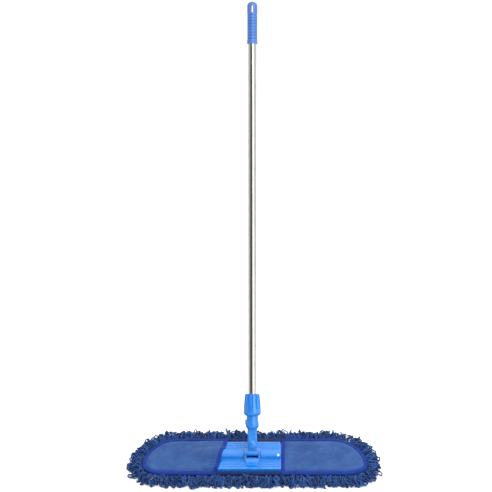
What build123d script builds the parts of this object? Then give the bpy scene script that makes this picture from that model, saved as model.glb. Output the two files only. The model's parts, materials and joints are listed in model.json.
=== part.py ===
from build123d import *
import math
import os

# Flat mop: a ribbed plate with two boards inside a fringed pad's pockets, a double joint, and a handle tube.
# Millimetres. +Z up, X along the pad, -Y the front. The origin is on the floor under the middle of the plate.
# The handle leans back from the tilt pivot. Its parts are made upright in HANDLE's own axes and set there.

# Driving dimensions
TUBE_R = 11.0
TUBE_WALL = 0.4
LEAN = 32.0
TILT_Y, TILT_Z = -6.0, 35.0
RUNNING_GAP = 0.05
FIXED_GAP = 0.02

# Pad outline: straight front and rear edges joined at each end by two quarter ellipses
PAD_X = 6.6
PAD_HALF = 286.0
PAD_WIDEST_Y = -30.0
FRONT_RX, FRONT_RY = 60.0, 38.0
REAR_RX, REAR_RY = 95.0, 108.0
PILE_TOP = 10.8
BACKING_TOP = 13.8
BINDING_TOP = 16.5
BINDING_WIDTH = 5.0
CLOTH = 1.2
SOFT_GAP = 0.2
FRINGE_REACH = 40.0
FRINGE_TOP = 9.0

# Centre plate: one moulded profile with a hollow ridge along its middle and a lip all round its underside
PLATE_LEFT, PLATE_RIGHT = -97.0, 72.5
PLATE_HALF_Y = 56.0
PLATE_BOTTOM, SKIN_BOTTOM, PLATE_TOP = 14.0, 18.6, 24.0
LIP = 2.6
RIDGE_FOOT, RIDGE_HALF, RIDGE_TOP = 15.5, 14.0, 35.0
RIDGE_CORNER = 4.0
RIDGE_WALL = 2.2
WINDOW_HALF = 21.4
GROOVE_YS = (25.0, 32.5, 40.0, 47.5)
GROOVE_WIDTH, GROOVE_DEPTH = 1.6, 0.8
CORNER_R, EDGE_ROUND = 3.0, 1.4

# Boards in the pockets
BOARD_BOTTOM, BOARD_TOP = 14.3, 18.3
BOARD_HALF_Y = 52.0
BOARD_INSET = 14.0
LEFT_BOARD_END = -58.0
RIGHT_BOARD_START = 22.0
RIVET_PLACES = ((-90.5, -43.8), (-90.5, -22.0), (-90.5, 22.0), (-90.5, 43.8))
RIVET_R, RIVET_HEAD_R = 2.0, 3.6
RIVET_HEAD, RIVET_TAIL = 1.6, 0.4

# Pocket mouths, as front and rear points: the left one is cut on a slant, the right one is nearly square
LEFT_MOUTH = ((-87.5, -56.0), (-63.0, 58.0))
RIGHT_MOUTH = ((73.0, -56.0), (75.5, 58.0))
HEM_WIDTH = 9.0
RAMP_START, RAMP_END = -104.0, -165.0

# Lock button on the ridge's front corner
BUTTON_X = 65.8
BUTTON_R, BUTTON_FLANGE_R, BUTTON_NOSE_R = 3.0, 3.9, 1.7
BUTTON_PROUD = 2.6
BUTTON_WALL = 3.2
BUTTON_FLANGE = 1.4
BUTTON_NOSE = 12.4
SEAT_SIZE, SEAT_DEPTH, SEAT_ABOVE, SEAT_ROOM = 8.8, 1.0, 1.8, 0.6
SPRING_R, SPRING_WIRE, SPRING_TURNS = 2.75, 0.35, 4

# Swivel bracket
BRACKET_HALF = 19.6
EAR_IN = 15.4
EAR_R, EAR_SPREAD = 9.5, 9.0
FLOOR_FRONT, FLOOR_REAR, FLOOR_TOP = -26.0, 29.0, 26.2
WALL_HALF, WALL_FOOT, WALL_CREST, WALL_IN, WALL_TOP = 17.0, -33.0, -25.0, -23.5, 31.5
FLANGE_HALF, FLANGE_FRONT, FLANGE_TOP = 14.5, -45.0, 25.6
OPENING_HALF, OPENING_FRONT, OPENING_REAR = 13.5, -12.0, 10.0
SCREW_PLACES = ((-12.0, -26.5), (12.0, -26.5), (-17.5, 5.0), (17.5, 5.0))
SCREW_R, SCREW_HEAD_R, SCREW_REACH = 1.75, 3.5, 4.2
SCREW_RIM, SCREW_CONE = 0.4, 2.0
TILT_PIN_R, TILT_PIN_HALF = 4.0, 19.2

# Knuckle and swivel, measured along the handle from the tilt pivot
BARREL_R, BARREL_HALF = 7.4, 15.0
SWIVEL_S = 22.0
SWIVEL_PIN_R = 3.0
SWIVEL_CAP = ((10.8, 0.0), (10.5, 1.2), (9.2, 2.4), (6.9, 3.5), (4.2, 4.2), (1.8, 4.5))
WASHER_R, WASHER, TAIL_R, TAIL = 5.6, 1.0, 4.0, 1.0
TAB_R, TAB_HALF = 11.2, 4.5
CHEEK_R, CHEEK_IN, CHEEK_OUT = 12.2, 4.8, 9.0
WEB_START = 36.0
STEM_ROUND = 3.5

# Handle socket, nut, tube and grip, as (radius, distance along the handle)
STEM_TOP = 60.0
SLEEVE = (
    (12.0, 61.0), (14.0, 63.4), (15.9, 66.4), (16.8, 70.0),
    (17.0, 74.0), (16.6, 78.5), (15.5, 84.5), (14.6, 95.0),
)
LUG_REACH, LUG_HALF, LUG_START, LUG_END, LUG_ROUND = 18.2, 3.6, 72.8, 84.2, 1.2
THREAD_R, THREAD_TOP = 14.7, 120.5
FINGER_FOOT_R, FINGER_TIP_R, FINGER_TOP = 13.9, 12.3, 143.0
FINGER_SLOT, FINGER_SLOT_START = 2.0, 112.0
SOCKET_FLOOR = 71.8
NUT_OUTSIDE = (
    (15.4, 94.6), (18.4, 96.4), (21.4, 99.2), (22.5, 102.6), (22.5, 106.0), (22.1, 112.0),
    (21.4, 122.0), (20.4, 134.0), (19.2, 144.0), (18.5, 148.4), (17.6, 150.2), (15.8, 150.9),
)
NUT_FLUTES, NUT_FLUTE_R, NUT_FLUTE_START = 12, 2.6, 117.0
NUT_FLUTE_OUT, NUT_FLUTE_LEAN, NUT_FLUTE_TURN = 21.9, 6.7, 26.0
NUT_SEAT = 0.3
TUBE_START, TUBE_END = 72.0, 1112.0
PLUG_TOP, PLUG_FLOOR, PLUG_WALL, PLUG_LEAD = 86.0, 2.0, 3.0, 1.5
GRIP_START, GRIP_TOP = 1039.0, 1147.5
GRIP_R, GRIP_FLARE_R, GRIP_FLARE, GRIP_NECK = 13.2, 13.8, 3.5, 8.0
RINGS, FIRST_RING, RING_PITCH = 9, 14.0, 7.4
RING_SLOPE, RING_FLAT, RING_DEPTH = 1.6, 0.9, 0.9
DOME_STEPS = 11
SLOT_S, SLOT_LENGTH, SLOT_WIDTH, SLOT_TURN = 1128.5, 22.0, 8.4, -13.0

HANDLE = Plane(
    origin=(0, TILT_Y, TILT_Z),
    x_dir=(1, 0, 0),
    z_dir=(0, math.sin(math.radians(LEAN)), math.cos(math.radians(LEAN))),
)


def slab(low, high):
    """A box from its lowest corner to its highest."""
    size = [b - a for a, b in zip(low, high)]
    middle = [(a + b) / 2 for a, b in zip(low, high)]
    return Pos(*middle) * Box(*size)


def rod(radius, start, end, turn=(0, 0, 0)):
    """A round bar along Z from start to end, turned about the origin afterwards."""
    bar = Pos(0, 0, (start + end) / 2) * Cylinder(radius, end - start)
    return Rotation(*turn) * bar


def turned(points):
    """A solid of revolution about Z from (radius, height) points, closed along the axis."""
    low, high = points[0][1], points[-1][1]
    line = Polyline((0, 0, low), *[(r, 0, z) for r, z in points], (0, 0, high), close=True)
    return revolve(make_face(line), Axis.Z)


def along_x(points, start, end):
    """A prism along X from (y, z) points."""
    face = make_face(Polyline(*[(start, y, z) for y, z in points], close=True))
    return extrude(face, end - start, (1, 0, 0))


def pad_prism(grow, low, high):
    """The pad's outline, grown by that much, from one height to another."""
    front_rx, front_ry = FRONT_RX + grow, FRONT_RY + grow
    rear_rx, rear_ry = REAR_RX + grow, REAR_RY + grow
    front, rear = PAD_WIDEST_Y - front_ry, PAD_WIDEST_Y + rear_ry
    reach_front, reach_rear = PAD_HALF - FRONT_RX, PAD_HALF - REAR_RX
    left, right = PAD_X - reach_front, PAD_X + reach_front
    far_left, far_right = PAD_X - reach_rear, PAD_X + reach_rear
    edges = [
        Line((left, front), (right, front)),
        EllipticalCenterArc((right, PAD_WIDEST_Y), front_rx, front_ry, 270, arc_size=90),
        EllipticalCenterArc((far_right, PAD_WIDEST_Y), rear_rx, rear_ry, 0, arc_size=90),
        Line((far_right, rear), (far_left, rear)),
        EllipticalCenterArc((far_left, PAD_WIDEST_Y), rear_rx, rear_ry, 90, arc_size=90),
        EllipticalCenterArc((left, PAD_WIDEST_Y), front_rx, front_ry, 180, arc_size=90),
    ]
    return extrude(Pos(0, 0, low) * make_face(edges), high - low)


def ridge_points(inset=0.0):
    """The ridge's outline across the plate, from its front foot to its rear foot."""
    foot, half, top = RIDGE_FOOT - inset, RIDGE_HALF - inset, RIDGE_TOP - inset
    corner = RIDGE_CORNER - 0.4 * inset
    rising = [(-foot, PLATE_TOP), (-half, top - corner), (-half + corner, top)]
    return rising + [(-y, z) for y, z in reversed(rising)]


def centre_plate():
    outline = slab((PLATE_LEFT, -PLATE_HALF_Y, PLATE_BOTTOM), (PLATE_RIGHT, PLATE_HALF_Y, PLATE_TOP))
    outline = fillet(outline.edges().filter_by(Axis.Z), CORNER_R)
    outline = fillet(outline.faces().sort_by(Axis.Z)[-1].edges(), EDGE_ROUND)
    channel_half = PLATE_HALF_Y - LIP
    low = (PLATE_LEFT - 1, -channel_half, PLATE_BOTTOM - 1)
    channel = slab(low, (PLATE_RIGHT + 1, channel_half, SKIN_BOTTOM))
    ridge_base = [(RIDGE_FOOT, PLATE_TOP - 1), (-RIDGE_FOOT, PLATE_TOP - 1)]
    ridge = along_x(ridge_points() + ridge_base, PLATE_LEFT, PLATE_RIGHT)
    inner_foot, inner_floor = RIDGE_FOOT - RIDGE_WALL, SKIN_BOTTOM + RIDGE_WALL
    hollow_points = ridge_points(RIDGE_WALL) + [(inner_foot, inner_floor), (-inner_foot, inner_floor)]
    hollow = along_x(hollow_points, PLATE_LEFT + RIDGE_WALL, PLATE_RIGHT - RIDGE_WALL)
    floor_half = WINDOW_HALF + RIDGE_WALL
    floor = slab((-floor_half, -RIDGE_FOOT, SKIN_BOTTOM), (floor_half, RIDGE_FOOT, PLATE_TOP))
    plate = (outline + ridge - hollow + floor) - channel
    wall_half, wall_top = RIDGE_HALF - 1, RIDGE_TOP - 1
    for x in (-floor_half, WINDOW_HALF):
        plate = plate + slab((x, -wall_half, PLATE_TOP - 1), (x + RIDGE_WALL, wall_half, wall_top))
    window_y = RIDGE_FOOT + 1
    plate = plate - slab((-WINDOW_HALF, -window_y, PLATE_TOP), (WINDOW_HALF, window_y, RIDGE_TOP + 1))
    for y in GROOVE_YS:
        for side in (-1, 1):
            plate = plate - slab(
                (PLATE_LEFT - 1, side * y - GROOVE_WIDTH / 2, PLATE_TOP - GROOVE_DEPTH),
                (PLATE_RIGHT - 3, side * y + GROOVE_WIDTH / 2, PLATE_TOP + 1),
            )
    for x, y in RIVET_PLACES:
        plate = plate - Pos(x, y, 0) * rivet(FIXED_GAP)
    for x, y in SCREW_PLACES:
        plate = plate - Pos(x, y, 0) * screw(FIXED_GAP)
    plate = plate - opening()
    button_hole = rod(BUTTON_R + 2 * RUNNING_GAP, -BUTTON_WALL - 3, 6)
    flange_room = rod(BUTTON_FLANGE_R + 2 * RUNNING_GAP, -BUTTON_WALL - 5, FIXED_GAP - BUTTON_WALL)
    return plate - BUTTON_PLANE * (button_hole + flange_room)


def opening():
    """The hole under the tilt barrel, through the bracket's floor and the plate."""
    low, high = (-OPENING_HALF, OPENING_FRONT), (OPENING_HALF, OPENING_REAR)
    return slab((*low, PLATE_BOTTOM), (*high, FLOOR_TOP + 1))


def board(start, end):
    """A flat board with the pad's rounded end, inside the pad's edge."""
    whole = pad_prism(-BOARD_INSET, BOARD_BOTTOM, BOARD_TOP)
    return whole & slab((start, -BOARD_HALF_Y, 0), (end, BOARD_HALF_Y, PLATE_TOP))


def left_board():
    piece = board(PAD_X - PAD_HALF, LEFT_BOARD_END)
    for x, y in RIVET_PLACES:
        piece = piece - Pos(x, y, 0) * rod(RIVET_R + FIXED_GAP, BOARD_BOTTOM - 1, BOARD_TOP + 1)
    return piece


def right_board():
    """The board that slides into the plate, with a hole under the lock button's nose."""
    piece = board(RIGHT_BOARD_START, PAD_X + PAD_HALF)
    return piece - Pos(BUTTON_X, 0, 0) * rod(BUTTON_NOSE_R + 1, BOARD_BOTTOM - 1, BOARD_TOP + 1)


def rivet(gap=0.0):
    """A rivet with its countersunk head flush with the plate and its flat tail under the board."""
    head = turned([
        (RIVET_R + gap, PLATE_TOP - RIVET_HEAD), (RIVET_HEAD_R + gap, PLATE_TOP - FIXED_GAP),
        (RIVET_HEAD_R + gap, PLATE_TOP + gap),
    ])
    shank = rod(RIVET_R + gap, BOARD_BOTTOM - RIVET_TAIL / 2, PLATE_TOP - RIVET_HEAD / 2)
    tail = rod(RIVET_HEAD_R, BOARD_BOTTOM - RIVET_TAIL, BOARD_BOTTOM)
    return head + shank + tail


def board_rivets():
    return Compound(children=[Pos(x, y, 0) * rivet() for x, y in RIVET_PLACES])


BUTTON_PLANE = Plane(
    origin=(BUTTON_X, RIDGE_CORNER / 2 - RIDGE_HALF, RIDGE_TOP - RIDGE_CORNER / 2),
    x_dir=(1, 0, 0),
    z_dir=(0, -1, 1),
)


def lock_button():
    """A plunger square to the ridge's corner: domed head outside, flange and nose inside."""
    head = turned([
        (BUTTON_R, -BUTTON_WALL), (BUTTON_R, BUTTON_PROUD - 1.2),
        (BUTTON_R * 0.85, BUTTON_PROUD - 0.5), (BUTTON_R * 0.5, BUTTON_PROUD),
    ])
    flange = rod(BUTTON_FLANGE_R, -BUTTON_WALL - BUTTON_FLANGE, -BUTTON_WALL)
    nose = rod(BUTTON_NOSE_R, -BUTTON_NOSE, -BUTTON_WALL - 1)
    return BUTTON_PLANE * (head + flange + nose)


def spring_seat():
    """A block in the hollow ridge that guides the button's nose and seats its spring."""
    low, high = -BUTTON_NOSE - SEAT_DEPTH, -BUTTON_NOSE + SEAT_ABOVE
    block = Pos(0, 0, (low + high) / 2) * Box(SEAT_SIZE, SEAT_SIZE, high - low)
    block = block - rod(BUTTON_NOSE_R + RUNNING_GAP, low - 1, high + 1)
    room = slab(
        (BUTTON_X - SEAT_SIZE, RIDGE_WALL - RIDGE_HALF + SEAT_ROOM, SKIN_BOTTOM + RIDGE_WALL),
        (BUTTON_X + SEAT_SIZE, RIDGE_HALF - RIDGE_WALL - SEAT_ROOM, RIDGE_TOP - RIDGE_WALL - 1),
    )
    return (BUTTON_PLANE * block) & room


def button_spring():
    low, high = -BUTTON_NOSE + SEAT_ABOVE, -BUTTON_WALL - BUTTON_FLANGE
    height = high - low - 2 * SPRING_WIRE - 2 * FIXED_GAP
    coil = Helix(pitch=height / SPRING_TURNS, height=height, radius=SPRING_R)
    wire = sweep(Plane(origin=coil @ 0, z_dir=coil % 0) * Circle(SPRING_WIRE), path=coil)
    return BUTTON_PLANE * (Pos(0, 0, low + SPRING_WIRE + FIXED_GAP) * wire)


def screw(gap=0.0):
    """A countersunk screw driven up through the plate into the bracket."""
    rim = SKIN_BOTTOM + SCREW_RIM
    head_bottom = SKIN_BOTTOM - 1 if gap else SKIN_BOTTOM + 0.1
    head = turned([
        (SCREW_HEAD_R + gap, head_bottom), (SCREW_HEAD_R + gap, rim), (SCREW_R + gap, rim + SCREW_CONE),
    ])
    return head + rod(SCREW_R + gap, SKIN_BOTTOM + 1, PLATE_TOP + SCREW_REACH + gap)


def bracket_screws():
    return Compound(children=[Pos(x, y, 0) * screw() for x, y in SCREW_PLACES])


def ear(start, end):
    """One ear of the bracket: a web that narrows up to a round eye about the tilt pivot."""
    front, rear = TILT_Y - EAR_R, TILT_Y + EAR_R
    foot = [(front - EAR_SPREAD, PLATE_TOP), (rear + EAR_SPREAD, PLATE_TOP)]
    web = along_x(foot + [(rear, TILT_Z), (front, TILT_Z)], start, end)
    eye = Pos(0, TILT_Y, TILT_Z) * rod(EAR_R, start, end, (0, 90, 0))
    return web + eye


def swivel_bracket():
    """A floor with an ear at each side, a sloped wall in front, and a thin flange out on the plate."""
    floor = slab((-BRACKET_HALF, FLOOR_FRONT, PLATE_TOP), (BRACKET_HALF, FLOOR_REAR, FLOOR_TOP))
    flange = slab((-FLANGE_HALF, FLANGE_FRONT, PLATE_TOP), (FLANGE_HALF, WALL_FOOT + 1, FLANGE_TOP))
    flange = fillet(flange.edges().filter_by(Axis.Z).group_by(Axis.Y)[0], 3)
    section = [
        (WALL_FOOT, PLATE_TOP), (WALL_IN, PLATE_TOP), (WALL_IN, WALL_TOP), (WALL_CREST, WALL_TOP),
        (WALL_FOOT, PLATE_TOP + 1),
    ]
    wall = along_x(section, -WALL_HALF, WALL_HALF)
    bracket = floor + flange + wall + ear(-BRACKET_HALF, -EAR_IN) + ear(EAR_IN, BRACKET_HALF)
    bracket = bracket - opening()
    bracket = bracket - Pos(0, TILT_Y, TILT_Z) * rod(TILT_PIN_R + FIXED_GAP, -30, 30, (0, 90, 0))
    for x, y in SCREW_PLACES:
        hole = rod(SCREW_R + FIXED_GAP, PLATE_TOP - 1, PLATE_TOP + SCREW_REACH + 2 * FIXED_GAP)
        bracket = bracket - Pos(x, y, 0) * hole
    return bracket


def tilt_pin():
    """A plain pin pressed through both ears."""
    return Pos(0, TILT_Y, TILT_Z) * rod(TILT_PIN_R, -TILT_PIN_HALF, TILT_PIN_HALF, (0, 90, 0))


def knuckle():
    """The cross piece: a barrel on the tilt pin and a tab for the swivel pin, square to each other."""
    barrel = rod(BARREL_R, -BARREL_HALF, BARREL_HALF, (0, 90, 0))
    eye = Pos(0, 0, SWIVEL_S) * rod(TAB_R, -TAB_HALF, TAB_HALF, (90, 0, 0))
    neck = slab((-TAB_R, -TAB_HALF, 0), (TAB_R, TAB_HALF, SWIVEL_S))
    piece = barrel + eye + neck
    piece = piece - rod(TILT_PIN_R + RUNNING_GAP, -30, 30, (0, 90, 0))
    piece = piece - Pos(0, 0, SWIVEL_S) * rod(SWIVEL_PIN_R + RUNNING_GAP, -30, 30, (90, 0, 0))
    return HANDLE * piece


def swivel_pin():
    """A pin with a broad domed cap on the front cheek, riveted over its washer on the rear one."""
    bar = rod(SWIVEL_PIN_R, -CHEEK_OUT - WASHER - TAIL / 2, CHEEK_OUT + 0.4)
    head = turned([(r, CHEEK_OUT + out) for r, out in SWIVEL_CAP])
    tail = rod(TAIL_R, -CHEEK_OUT - WASHER - TAIL, -CHEEK_OUT - WASHER)
    return HANDLE * (Pos(0, 0, SWIVEL_S) * Rotation(90, 0, 0) * (bar + head + tail))


def swivel_washer():
    ring = rod(WASHER_R, -CHEEK_OUT - WASHER, -CHEEK_OUT) - rod(SWIVEL_PIN_R + FIXED_GAP, -20, 20)
    return HANDLE * (Pos(0, 0, SWIVEL_S) * Rotation(90, 0, 0) * ring)


def handle_socket():
    """Fork, stem, bulged sleeve, thread and split fingers in one moulding, bored for the tube."""
    cheek = Pos(0, 0, SWIVEL_S) * rod(CHEEK_R, -CHEEK_OUT, CHEEK_OUT, (90, 0, 0))
    stem = slab((-CHEEK_R, -CHEEK_OUT, SWIVEL_S), (CHEEK_R, CHEEK_OUT, STEM_TOP + 6))
    stem = fillet(stem.edges().filter_by(Axis.Z), STEM_ROUND)
    gap = slab((-CHEEK_R - 5, -CHEEK_IN, 0), (CHEEK_R + 5, CHEEK_IN, WEB_START))
    body = cheek + stem - gap
    thread = [(THREAD_R, SLEEVE[-1][1]), (THREAD_R, THREAD_TOP)]
    fingers = [(FINGER_FOOT_R, THREAD_TOP + 1), (FINGER_TIP_R, FINGER_TOP)]
    upper = turned([*SLEEVE, *thread, *fingers])
    lug = slab((-LUG_REACH, -LUG_HALF, LUG_START), (1 - THREAD_R, LUG_HALF, LUG_END))
    lug = fillet(lug.edges(), LUG_ROUND)
    body = body + upper + lug
    body = body - rod(TUBE_R + RUNNING_GAP, SOCKET_FLOOR, FINGER_TOP + 1)
    body = body - Pos(0, 0, SWIVEL_S) * rod(SWIVEL_PIN_R + FIXED_GAP, -30, 30, (90, 0, 0))
    slot = slab((-30, -FINGER_SLOT / 2, FINGER_SLOT_START), (30, FINGER_SLOT / 2, FINGER_TOP + 1))
    for turn in (45, 135):
        body = body - Rotation(0, 0, turn) * slot
    return HANDLE * body


def lock_nut():
    """A fluted nut over the fingers: turning it pulls its cone down on them."""
    nut = turned(list(NUT_OUTSIDE))
    cone_top = FINGER_TOP + 2 * NUT_SEAT
    inside = turned([
        (THREAD_R + RUNNING_GAP, NUT_OUTSIDE[0][1] - 1), (THREAD_R + RUNNING_GAP, THREAD_TOP + 0.5),
        (FINGER_FOOT_R + NUT_SEAT, THREAD_TOP + 1), (FINGER_TIP_R + NUT_SEAT, cone_top),
        (TUBE_R + NUT_SEAT, cone_top + 0.01), (TUBE_R + NUT_SEAT, NUT_OUTSIDE[-1][1] + 1),
    ])
    nut = nut - inside
    top = NUT_OUTSIDE[-1][1] + 12
    groove = rod(NUT_FLUTE_R, NUT_FLUTE_START, top) + Pos(0, 0, NUT_FLUTE_START) * Sphere(NUT_FLUTE_R)
    groove = Pos(0, 0, -NUT_FLUTE_START) * groove
    groove = Pos(NUT_FLUTE_OUT, 0, NUT_FLUTE_START) * Rotation(0, -NUT_FLUTE_LEAN, 0) * groove
    for i in range(NUT_FLUTES):
        nut = nut - Rotation(0, 0, NUT_FLUTE_TURN + i * 360 / NUT_FLUTES) * groove
    return HANDLE * nut


def handle_tube():
    bore = rod(TUBE_R - TUBE_WALL, TUBE_START - 1, TUBE_END + 1)
    return HANDLE * (rod(TUBE_R, TUBE_START, TUBE_END) - bore)


def tube_plug():
    """A plug pressed in the tube's lower end."""
    inner = TUBE_R - TUBE_WALL - FIXED_GAP
    body = turned([(inner, TUBE_START), (inner, PLUG_TOP - PLUG_LEAD), (inner - PLUG_LEAD, PLUG_TOP)])
    return HANDLE * (body - rod(inner - PLUG_WALL, TUBE_START + PLUG_FLOOR, PLUG_TOP + 1))


def hand_grip():
    """A ribbed grip closed at the top by a dome with a hanging slot through it."""
    outside = [
        (GRIP_R, GRIP_START), (GRIP_FLARE_R, GRIP_START + 1),
        (GRIP_FLARE_R, GRIP_START + GRIP_FLARE), (GRIP_R, GRIP_START + GRIP_NECK),
    ]
    for i in range(RINGS):
        middle = GRIP_START + FIRST_RING + i * RING_PITCH
        outside += [(GRIP_R, middle - RING_SLOPE), (GRIP_R - RING_DEPTH, middle - RING_FLAT)]
        outside += [(GRIP_R - RING_DEPTH, middle + RING_FLAT), (GRIP_R, middle + RING_SLOPE)]
    dome_start = GRIP_TOP - GRIP_R + 1
    outside.append((GRIP_R, dome_start))
    for i in range(1, DOME_STEPS + 1):
        angle = math.radians(88 * i / DOME_STEPS)
        outside.append((GRIP_R * math.cos(angle), dome_start + (GRIP_TOP - dome_start) * math.sin(angle)))
    grip = turned(outside)
    grip = grip - rod(TUBE_R + FIXED_GAP, GRIP_START - 1, TUBE_END + 0.5)
    straight = SLOT_LENGTH - SLOT_WIDTH
    slot = Box(SLOT_WIDTH, 40, straight)
    for end in (-1, 1):
        slot = slot + Pos(0, 0, end * straight / 2) * rod(SLOT_WIDTH / 2, -20, 20, (90, 0, 0))
    return HANDLE * (grip - Pos(0, 0, SLOT_S) * Rotation(0, 0, SLOT_TURN) * slot)


def pad_pile():
    return pad_prism(-2.0, 0, PILE_TOP)


def pad_backing():
    """Cloth over the pile: inside the binding at the pockets, and out to the pad's edge between them."""
    low, high = PILE_TOP + SOFT_GAP, BACKING_TOP
    inner = pad_prism(-BINDING_WIDTH - SOFT_GAP, low, high)
    middle = pad_prism(-SOFT_GAP, low, high)
    for side, mouth in ((-1, LEFT_MOUTH), (1, RIGHT_MOUTH)):
        middle = middle - beyond(mouth, side, -SOFT_GAP)
    return inner + middle


def binding(side, mouth):
    """The tape round one pocket's end of the pad."""
    low = PILE_TOP + SOFT_GAP
    ring = pad_prism(0, low, BINDING_TOP) - pad_prism(-BINDING_WIDTH, low - 1, BINDING_TOP + 1)
    return ring & beyond(mouth, side)


def beyond(mouth, side, shift=0.0):
    """Everything on the pocket's side of its mouth, as a tall prism; side is -1 for left and 1 for right."""
    (x0, y0), (x1, y1) = mouth
    slope = (x1 - x0) / (y1 - y0)
    reach, far = 120.0, side * 400.0
    near = [(x0 + slope * (y - y0) + side * shift, y) for y in (-reach, reach)]
    line = Polyline(near[0], near[1], (far, reach), (far, -reach), close=True)
    return extrude(make_face(line), 60)


def pocket_cover(side, drop, inset):
    """What a pocket encloses, drop below its outer face and inset from its edge."""
    low = BACKING_TOP + SOFT_GAP / 2
    flat = BOARD_TOP + SOFT_GAP + CLOTH - drop
    whole = pad_prism(-BINDING_WIDTH - SOFT_GAP - inset, low - drop, 40)
    if side > 0:
        return whole & slab((0, -200, 0), (400, 200, flat))
    high = PLATE_TOP + SOFT_GAP + CLOTH - drop
    ramp = [(RAMP_START, 0, high), (RAMP_END, 0, flat)]
    profile = Polyline((0, 0, 0), (0, 0, high), *ramp, (-400, 0, flat), (-400, 0, 0), close=True)
    prism = extrude(make_face(profile), 200, (0, 1, 0), both=True)
    return whole & prism


def pocket(side, mouth):
    skin = pocket_cover(side, 0, 0) - pocket_cover(side, CLOTH, CLOTH)
    return skin & beyond(mouth, side, HEM_WIDTH + SOFT_GAP)


def left_pocket():
    """The cloth over the left board, ramped up over the plate's end and cut round the ridge."""
    ridge_room = slab((PLATE_LEFT - SOFT_GAP, -RIDGE_FOOT - 1, 0), (0, RIDGE_FOOT + 1, 60))
    return pocket(-1, LEFT_MOUTH) - ridge_room


def right_pocket():
    return pocket(1, RIGHT_MOUTH)


def left_hem():
    """A band along the slanted mouth that follows the plate and its ridge."""
    low, high = PLATE_TOP + SOFT_GAP, PLATE_TOP + SOFT_GAP + CLOTH
    half = PLATE_HALF_Y + 2
    over = CLOTH + SOFT_GAP
    ridge = [(y * (1 + over / RIDGE_HALF), max(z + over, high)) for y, z in ridge_points()]
    under = [(y * (1 + SOFT_GAP / RIDGE_HALF), max(z + SOFT_GAP, low)) for y, z in ridge_points()]
    section = [(-half, low), (-half, high)] + ridge + [(half, high), (half, low)] + under[::-1]
    band = along_x(section, -140, 0)
    return (band & beyond(LEFT_MOUTH, -1)) - beyond(LEFT_MOUTH, -1, HEM_WIDTH)


def right_hem():
    skin = pocket_cover(1, 0, 0) - pocket_cover(1, CLOTH, CLOTH)
    return (skin & beyond(RIGHT_MOUTH, 1)) - beyond(RIGHT_MOUTH, 1, HEM_WIDTH)


def fringe(low, high):
    """The part of the fringe between two corners."""
    ring = pad_prism(FRINGE_REACH, 0, FRINGE_TOP) - pad_prism(SOFT_GAP, -1, FRINGE_TOP + 1)
    return ring & slab(low, high)


def fringe_pieces():
    """Four lengths of the fringe: front, rear, and the two rounded ends."""
    left, right = PAD_X - PAD_HALF + FRONT_RX, PAD_X + PAD_HALF - FRONT_RX
    rear_left, rear_right = PAD_X - PAD_HALF + REAR_RX, PAD_X + PAD_HALF - REAR_RX
    far, tall, cut = 400, 50, PAD_WIDEST_Y
    ends = {}
    for name, sign, front_x, rear_x in (("left", -1, left, rear_left), ("right", 1, right, rear_right)):
        front = slab((min(front_x, sign * far), -far, 0), (max(front_x, sign * far), cut, tall))
        rear = slab((min(rear_x, sign * far), cut, 0), (max(rear_x, sign * far), far, tall))
        ring = fringe((-far, -far, 0), (far, far, tall))
        ends["fringe_" + name] = ring & (front + rear)
    ends["fringe_front"] = fringe((left, -far, 0), (right, cut, tall))
    ends["fringe_rear"] = fringe((rear_left, cut, 0), (rear_right, far, tall))
    return ends


def main():
    pieces = {
        "centre_plate": centre_plate(),
        "left_board": left_board(),
        "right_board": right_board(),
        "board_rivets": board_rivets(),
        "lock_button": lock_button(),
        "button_spring": button_spring(),
        "spring_seat": spring_seat(),
        "swivel_bracket": swivel_bracket(),
        "bracket_screws": bracket_screws(),
        "tilt_pin": tilt_pin(),
        "knuckle": knuckle(),
        "swivel_pin": swivel_pin(),
        "swivel_washer": swivel_washer(),
        "handle_socket": handle_socket(),
        "lock_nut": lock_nut(),
        "handle_tube": handle_tube(),
        "tube_plug": tube_plug(),
        "hand_grip": hand_grip(),
        "pad_pile": pad_pile(),
        "pad_backing": pad_backing(),
        "left_binding": binding(-1, LEFT_MOUTH),
        "right_binding": binding(1, RIGHT_MOUTH),
        "left_pocket": left_pocket(),
        "right_pocket": right_pocket(),
        "left_hem": left_hem(),
        "right_hem": right_hem(),
    }
    pieces.update(fringe_pieces())
    os.makedirs("parts", exist_ok=True)
    for name, shape in pieces.items():
        export_step(shape, f"parts/{name}.step")
        print(name, round(shape.volume))


main()
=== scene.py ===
import json
import math

import bpy
import numpy as np
from mathutils import Matrix, Vector


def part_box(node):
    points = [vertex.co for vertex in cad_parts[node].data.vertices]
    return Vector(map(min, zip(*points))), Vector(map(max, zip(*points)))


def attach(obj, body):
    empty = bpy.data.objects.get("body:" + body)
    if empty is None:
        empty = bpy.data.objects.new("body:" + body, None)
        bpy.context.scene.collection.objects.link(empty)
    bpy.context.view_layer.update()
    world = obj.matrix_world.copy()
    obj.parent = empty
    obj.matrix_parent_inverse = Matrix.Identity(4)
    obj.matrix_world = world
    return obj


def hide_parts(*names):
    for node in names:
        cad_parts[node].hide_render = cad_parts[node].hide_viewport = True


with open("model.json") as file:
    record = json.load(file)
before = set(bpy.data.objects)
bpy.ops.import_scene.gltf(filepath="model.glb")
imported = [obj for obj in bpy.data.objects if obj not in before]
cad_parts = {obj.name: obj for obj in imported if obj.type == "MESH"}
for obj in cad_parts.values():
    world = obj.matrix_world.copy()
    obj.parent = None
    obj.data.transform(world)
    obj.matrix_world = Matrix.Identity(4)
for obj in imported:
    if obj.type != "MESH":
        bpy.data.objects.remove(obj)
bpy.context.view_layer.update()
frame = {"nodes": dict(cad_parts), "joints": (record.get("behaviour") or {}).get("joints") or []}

# Flat mop: finishes for the CAD's plate, joint and handle, and a cloth pad with pockets, tape and yarn loops.
# Metres, in the row frame: +Z up, X along the pad, -Y the front.

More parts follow.
